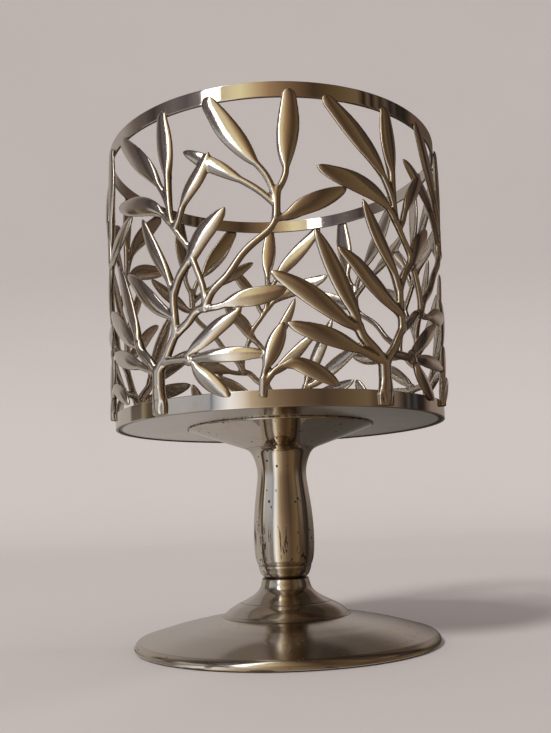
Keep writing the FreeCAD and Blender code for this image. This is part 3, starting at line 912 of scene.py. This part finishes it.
class HOLDER_OT_stem(bpy.types.Operator):
    """Turned stem with its flared head."""

    bl_idname = "holder.stem"
    bl_label = "Stem"

    def execute(self, context):
        crease = (CREASE[0], TRAY_Z - CREASE[1])
        shares = np.array(COLUMN) * (BELLY_RADIUS, STEM_LENGTH) + (0, stem_low.z)
        column = natural_spline(np.concatenate([shares, [crease]]), 150)
        flare = np.linspace(crease, (HEAD_RADIUS, TRAY_Z - HEAD_RIM), 46)[1:]
        roll = np.array([(crease[0] + 0.00012, crease[1] - 0.00002)])
        top = [(HEAD_RADIUS, TRAY_Z - 0.0001), (HEAD_RADIUS - 0.0002, TRAY_Z), (0, TRAY_Z)]
        bottom = [(0, stem_low.z), (shares[0, 0] - 0.0004, stem_low.z)]
        profile = np.concatenate([bottom, column, roll, flare, top])

        def sway(radius, z, azimuth):
            lean = STEM_LEAN * np.sin(azimuth * 2 + z * 90) + STEM_WAVE * wave(azimuth, z, 12, 5, 0.02)
            collar = COLLAR_DEPTH * np.exp(-((z - stem_low.z - COLLAR_RISE) / COLLAR_WIDTH) ** 2)
            return radius + (lean - collar) * (radius < HEAD_RADIUS - HEAD_RIM), z

        piece = turned_solid("turned_stem", profile, 256, sway)
        store_shape(piece.data, 0.0012, 1)
        place_piece(piece, cast_column("stem_metal"), "stem_metal", "stem")
        return {"FINISHED"}


class HOLDER_OT_solder(bpy.types.Operator):
    """Uneven seam of solder around the rim of the stem's head."""

    bl_idname = "holder.solder"
    bl_label = "Head solder"

    def execute(self, context):
        width = solder_high.x - HEAD_RADIUS
        t = np.linspace(0, TURN, 18, endpoint=False)
        profile = np.stack([0.5 + 0.5 * np.cos(t), np.sin(t)], -1)

        def sway(out, up, azimuth):
            swell = 0.72 + 0.24 * wave(azimuth, 0, 21, 60, 1.0) + 0.2 * wave(azimuth, 0, 22, 25, 1.0)
            swell = np.clip(swell, 0.3, 1.0)
            radius = HEAD_RADIUS + width * (0.1 + 0.85 * out) * swell
            return radius, TRAY_Z - HEAD_RIM * (0.5 + 0.48 * up) * swell

        piece = turned_ring("rim_solder", profile, np.linspace(0, TURN, 900, endpoint=False), sway)
        place_piece(piece, soft_solder("solder"), "solder", "head_solder")
        return {"FINISHED"}


# Foot from its neck outwards, as shares of its radius and height
NECK = [(0.1522, 1.0), (0.160, 0.940), (0.172, 0.850), (0.204, 0.764), (0.296, 0.640)]
SHOULDER = [(0.296, 0.640), (0.365, 0.553), (0.420, 0.447)]
SKIRT = [(0.424, 0.430), (0.700, 0.310), (0.885, 0.196), (0.975, 0.134)]
HOLLOW = [(0.2174, 0.537), (0.300, 0.515), (0.420, 0.400), (0.690, 0.222), (0.870, 0.110)]
BEAD_HEIGHT, LEDGE_WIDTH, FELT_GAP, FOOT_WAVE = 0.0029, 0.0017, 0.0002, 0.00002

# Radii and depths of the two turned lines and of the skirt's shallow dip
LINE_RADII, LINE_WIDTH, LINE_DEPTH = (0.0151, 0.0209), 0.00018, 0.00016
DIP_RADIUS, DIP_WIDTH, DIP_DEPTH = 0.0335, 0.0020, 0.00003


class HOLDER_OT_foot(bpy.types.Operator):
    """Hollow turned foot with a rounded rim."""

    bl_idname = "holder.foot"
    bl_label = "Foot"

    def execute(self, context):
        def sized(shares):
            return np.array(shares) * (FOOT_RADIUS, FOOT_HEIGHT) + (0, foot_low.z)

        neck = natural_spline(sized(NECK), 70)
        shoulder = natural_spline(sized(SHOULDER), 40)[1:]
        skirt = natural_spline(sized(SKIRT), 170)
        crease = skirt[-1]
        low = np.array([FOOT_RADIUS - 0.0002, foot_low.z])
        middle = np.array([FOOT_RADIUS, foot_low.z + BEAD_HEIGHT / 2])
        t = np.linspace(0, 1, 26)[:, None]
        bead = crease * (1 - t) * (1 - 2 * t) + middle * 4 * t * (1 - t) + low * t * (2 * t - 1)
        fold = np.array([crease + (0.00005, -0.00025)])
        ledge = felt_high.x + FELT_GAP
        under = np.array([(ledge, foot_low.z), (ledge, felt_high.z), (ledge - LEDGE_WIDTH, felt_high.z)])
        hollow = sized(HOLLOW)[::-1]
        roof = hollow[-1][1]
        profile = [[(0, foot_high.z)], neck, shoulder, skirt, fold, bead[1:], under, hollow, [(0, roof)]]
        profile = np.concatenate(profile)

        def sway(radius, z, azimuth):
            lines = sum(np.exp(-((radius - at) / LINE_WIDTH) ** 2) for at in LINE_RADII)
            dip = np.exp(-((radius - DIP_RADIUS) / DIP_WIDTH) ** 2)
            outside = z > roof * 0.55 + 0.0003
            cut = (LINE_DEPTH * lines + DIP_DEPTH * dip) * outside
            return radius, z - cut + FOOT_WAVE * wave(azimuth, radius, 31, 3, 0.04)

        piece = turned_solid("cone_foot", profile, 312, sway)
        store_shape(piece.data, 0.0010, 1)
        place_piece(piece, turned_nickel("foot_metal"), "foot_metal", "foot")
        return {"FINISHED"}


# Band at the felt's rim in which its fibres stand out, and how far
FUZZ_BAND, FUZZ_DEPTH = 0.001, 0.00012


class HOLDER_OT_felt(bpy.types.Operator):
    """Felt disc that closes the foot."""

    bl_idname = "holder.felt"
    bl_label = "Felt"

    def execute(self, context):
        rim, thick = felt_high.x, felt_high.z
        low = [(r, 0.0) for r in np.linspace(0, rim - 0.0004, 60)]
        side = [(rim - 0.0001, 0.0002), (rim, 0.0005), (rim - 0.0001, thick - 0.00015)]
        high = [(r, thick) for r in np.linspace(rim - 0.0004, 0, 20)]

        def sway(radius, z, azimuth):
            edge = np.clip((radius - rim + FUZZ_BAND) / FUZZ_BAND, 0, 1)
            return radius - FUZZ_DEPTH * edge * np.abs(wave(azimuth, z, 41, 220, 0.004)), z

        piece = turned_solid("felt_disc", low + side + high, 480, sway)
        place_piece(piece, wool_felt("felt"), "felt", "felt_pad")
        return {"FINISHED"}


class HOLDER_OT_fasteners(bpy.types.Operator):
    """Finish of the stud, washers and nut, whose CAD shapes stay."""

    bl_idname = "holder.fasteners"
    bl_label = "Fasteners"

    def execute(self, context):
        material = zinc_steel("steel")
        for name in ("foot_stud", "cup_washer", "lock_washer", "hex_nut"):
            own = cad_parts[name].data
            own.materials.clear()
            own.materials.append(material)
        return {"FINISHED"}


# Stage

def plain_paint(name, colour):
    """Matt paint with a faint mottle."""
    it = Finish(name, 0.0)
    it.shader.inputs["Specular IOR Level"].default_value = 0.15
    tint = it.shades(it.noise(3, 3), colour, 0.97, 1.03)
    return it.done(tint, it.uneven(it.noise(420), 0.85, 0.95))


def reflection_glow(name):
    """Plain glow of the painted reflections, in the tone that is stored at each point."""
    material, tree = empty_material(name)
    tone = node(tree, "ShaderNodeAttribute", attribute_name="tone").outputs["Color"]
    light = node(tree, "ShaderNodeEmission", {"Color": tone, "Strength": 1.0}).outputs[0]
    node(tree, "ShaderNodeOutputMaterial", {0: light})
    return material


def reflection_dome(name):
    """Glowing dome of painted reflections on a ring of floor, which shows only in the metal, in the tones of
    PAINTED_REFLECTIONS.

    Columns run round the object. Rows run out along the floor, then up a sphere
    about the tray; each row blends two of the bands floor, low, high and top,
    of which the top is half as bright as the high one.
    """
    azimuth = np.arange(-180, 180)
    tones = PAINTED_REFLECTIONS[:, 1:].reshape(-1, 3, 3) / 100
    tones = np.concatenate([tones, tones[:, 2:] / 2], 1).reshape(len(PAINTED_REFLECTIONS), -1).T
    bands = np.stack([np.interp(azimuth, PAINTED_REFLECTIONS[:, 0], row, period=360) for row in tones])
    bands = bands.reshape(4, 3, -1).transpose(0, 2, 1)
    floor, sky = np.array(FLOOR_ROWS), np.array(SKY_ROWS)
    height = np.radians(sky[:, 0])
    radius = np.concatenate([floor[:, 0], DOME_RADIUS * np.cos(height)])
    z = np.concatenate([np.full(len(floor), FLOOR_GAP), TRAY_Z + DOME_RADIUS * np.sin(height)])
    place = np.concatenate([floor[:, 1], sky[:, 1]])
    low = np.minimum(place.astype(int), 2)
    share = (place - low)[:, None, None]
    tone = bands[low] * (1 - share) + bands[low + 1] * share
    tone = np.concatenate([tone, np.ones_like(tone[:, :, :1])], -1)
    points = around(radius[:, None], np.radians(azimuth)[None, :], z[:, None])
    dome = mesh_piece(name, points, grid_faces(len(radius), 360, False, True), outward=False)
    layer = dome.data.attributes.new("tone", "FLOAT_COLOR", "POINT")
    layer.data.foreach_set("color", tone.astype(np.float32).ravel())
    dome.data.materials.append(reflection_glow("stage_painted_reflections"))
    dome.visible_camera = dome.visible_diffuse = dome.visible_shadow = False


# Camera of the photograph: place and turn, from the ellipses of both hoops and the foot
CAMERA_PLACE = (0.0, -0.27408, 0.0436)
CAMERA_PITCH, CAMERA_YAW, CAMERA_ROLL = 0.0538, -0.0077, -0.0344
CAMERA_LENS, CAMERA_SHIFT = 39.68, 0.1412

# Painted reflections that only the metal mirrors, with painted shade in the dark stretches
# and a painted highlight in the window: azimuth from the front in degrees, then red, green and
# blue in hundredths of the floor, of the room at the tray's height, and of the room above with its window on the
# left
PAINTED_REFLECTIONS = np.array([
    (-180, 16, 14, 12, 50, 46, 44, 32, 28, 26),
    (-170, 38, 34, 32, 50, 46, 44, 42, 38, 36),
    (-115, 50, 47, 44, 50, 46, 43, 45, 41, 39),
    (-112, 50, 47, 44, 10, 8, 7, 42, 38, 36),
    (-101, 50, 46, 42, 10, 8, 6, 24, 21, 20),
    (-98, 50, 46, 42, 34, 29, 18, 20, 17, 16),
    (-93, 8, 5, 4, 16, 12, 8, 17, 14, 13),
    (-86, 8, 5, 4, 8, 6, 5, 15, 12, 12),
    (-84, 14, 11, 10, 80, 78, 76, 12, 9, 9),
    (-78, 31, 28, 24, 80, 78, 76, 7, 6, 6),
    (-76, 35, 31, 27, 56, 58, 62, 11, 9, 9),
    (-62, 42, 40, 37, 56, 58, 62, 20, 18, 19),
    (-52, 30, 28, 27, 52, 54, 58, 14, 12, 14),
    (-43, 28, 27, 27, 50, 52, 58, 26, 24, 26),
    (-42, 30, 29, 29, 26, 29, 36, 50, 48, 50),
    (-41, 50, 50, 50, 30, 34, 42, 400, 390, 380),
    (-40, 62, 62, 64, 50, 55, 64, 500, 490, 480),
    (-31, 132, 133, 135, 112, 116, 124, 500, 490, 480),
    (-29, 132, 131, 128, 114, 115, 118, 80, 72, 50),
    (-22, 105, 97, 86, 92, 86, 78, 100, 90, 60),
    (-17, 72, 62, 46, 62, 50, 36, 105, 96, 62),
    (-8, 50, 40, 26, 35, 26, 16, 74, 58, 35),
    (0, 33, 25, 15, 26, 18, 12, 45, 30, 17),
    (10, 20, 14, 9, 17, 11, 7, 27, 17, 10),
    (27, 13, 8, 5, 9, 6, 4, 8, 5, 3),
    (44, 18, 12, 6, 16, 11, 6, 15, 10, 5),
    (56, 18, 12, 6, 21, 15, 9, 20, 14, 8),
    (61, 10, 7, 4, 12, 8, 5, 2, 1, 1),
    (64, 10, 7, 4, 13, 9, 6, 17, 12, 7),
    (67, 9, 6, 4, 22, 16, 11, 2, 1, 1),
    (71, 9, 6, 4, 23, 17, 12, 15, 11, 7),
    (74, 8, 5, 4, 23, 17, 12, 4, 3, 2),
    (79, 8, 5, 4, 22, 17, 13, 13, 10, 7),
    (83, 8, 5, 4, 10, 8, 6, 3, 2, 2),
    (87, 6, 4, 3, 3, 2, 2, 8, 6, 5),
    (90, 5, 3, 2, 9, 9, 9, 2, 2, 2),
    (93, 4, 3, 2, 2, 2, 2, 4, 3, 2),
    (97, 3, 2, 1, 8, 7, 8, 2, 2, 2),
    (101, 3, 2, 1, 2, 2, 2, 5, 4, 3),
    (107, 8, 6, 5, 3, 2, 2, 15, 9, 7),
    (118, 10, 8, 7, 33, 26, 21, 13, 9, 7),
    (130, 8, 7, 6, 36, 29, 26, 11, 8, 6),
    (150, 8, 7, 6, 36, 30, 27, 11, 8, 6),
    (165, 9, 8, 7, 48, 43, 41, 16, 13, 11),
])

# Rows of the dome of painted reflections: radius on the floor or degrees above the tray, then the band
DOME_RADIUS, FLOOR_GAP = 0.46, 0.0003
FLOOR_ROWS = [(0.0508, 0), (0.066, 0), (0.12, 0), (0.25, 0), (0.44, 0.1)]
SKY_ROWS = [(-8.5, 0.1), (-4, 0.25), (1, 0.5), (5, 0.75), (10, 1), (15, 1), (21, 1.7), (25, 2),
            (29, 2), (33, 2.1), (38, 2.15), (50, 2.3), (62, 2.6), (75, 2.9), (88, 3)]

LAMP_PLACE = (-0.62, -0.72, 0.80)


class HOLDER_OT_stage(bpy.types.Operator):
    """Floor, backdrop, lamp, the glowing dome of painted reflections that only the metal mirrors, and the camera.
    """

    bl_idname = "holder.stage"
    bl_label = "Stage"

    def execute(self, context):
        scene = context.scene
        look = scene.holder_stage
        front, wall, bend, height, half = -2.6, 1.5, 0.6, 2.6, 3.2
        turn = np.linspace(0, math.pi / 2, 24)
        sweep = np.stack([wall - bend + bend * np.sin(turn), bend - bend * np.cos(turn)], -1)
        run = np.concatenate([[(front, 0.0), (-0.6, 0.0), (0.0, 0.0), (0.5, 0.0)], sweep, [(wall, height)]])
        x = np.linspace(-half, half, 17)
        points = np.stack(np.broadcast_arrays(x[None, :], run[:, :1], run[:, 1:]), -1)
        floor = mesh_piece("stage_floor", points, grid_faces(len(run), len(x), False, False), outward=False)
        floor.data.materials.append(plain_paint("stage_paint", look.floor))
        reflection_dome("stage_reflection_dome")
        world = bpy.data.worlds.new("stage_sky")
        world.use_nodes = True
        back = world.node_tree.nodes["Background"]
        back.inputs["Color"].default_value = (*look.floor, 1)
        back.inputs["Strength"].default_value = look.sky_level
        scene.world = world
        lamp = bpy.data.lights.new("main_lamp", "SUN")
        lamp.energy = look.lamp_level
        lamp.angle = math.radians(12)
        lamp.color = (1.0, 0.985, 0.965)
        holder = bpy.data.objects.new("main_lamp", lamp)
        source = Vector(LAMP_PLACE)
        holder.rotation_euler = source.to_track_quat("Z", "Y").to_euler()
        holder.location = source
        # The lamp shows in no reflection: the dome's painted window highlight stands in for it
        holder.visible_glossy = False
        scene.collection.objects.link(holder)
        set_camera(scene)
        scene.view_settings.view_transform = "Standard"
        return {"FINISHED"}


def set_camera(scene):
    """Camera turned by yaw, pitch and roll from looking along +Y."""
    lens = bpy.data.cameras.new("photo_camera")
    lens.lens = CAMERA_LENS
    lens.sensor_width = 36
    lens.shift_y = CAMERA_SHIFT
    lens.clip_start = 0.01
    camera = bpy.data.objects.new("photo_camera", lens)
    turns = ((-CAMERA_YAW, "Z"), (math.pi / 2 + CAMERA_PITCH, "X"), (CAMERA_ROLL, "Z"))
    placed = Matrix.Translation(CAMERA_PLACE)
    for angle, axis in turns:
        placed = placed @ Matrix.Rotation(angle, 4, axis)
    camera.matrix_world = placed
    scene.collection.objects.link(camera)
    scene.camera = camera


class HOLDER_PT_panel(bpy.types.Panel):
    """Sidebar panel with all the settings and steps."""

    bl_label = "Footed jar holder"
    bl_idname = "HOLDER_PT_panel"
    bl_space_type = "VIEW_3D"
    bl_region_type = "UI"
    bl_category = "Holder"

    def draw(self, context):
        for settings in (context.scene.holder_sleeve, context.scene.holder_finish, context.scene.holder_stage):
            box = self.layout.box()
            for label in settings.__annotations__:
                box.prop(settings, label)
        for operator in STEPS:
            self.layout.operator(operator.bl_idname)


GROUPS = {"holder_sleeve": HolderSleeve, "holder_finish": HolderFinish, "holder_stage": HolderStage}
STEPS = [
    HOLDER_OT_hoops,
    HOLDER_OT_sprays,
    HOLDER_OT_tray,
    HOLDER_OT_stem,
    HOLDER_OT_solder,
    HOLDER_OT_foot,
    HOLDER_OT_felt,
    HOLDER_OT_fasteners,
    HOLDER_OT_stage,
]


def register():
    for made in [*GROUPS.values(), *STEPS, HOLDER_PT_panel]:
        bpy.utils.register_class(made)
    for label, group in GROUPS.items():
        setattr(bpy.types.Scene, label, PointerProperty(type=group))


def unregister():
    for label in GROUPS:
        delattr(bpy.types.Scene, label)
    for made in [HOLDER_PT_panel, *STEPS[::-1], *GROUPS.values()]:
        bpy.utils.unregister_class(made)


def main():
    register()
    for step in STEPS:
        group, label = step.bl_idname.split(".")
        getattr(getattr(bpy.ops, group), label)()


if __name__ == "__main__":
    main()
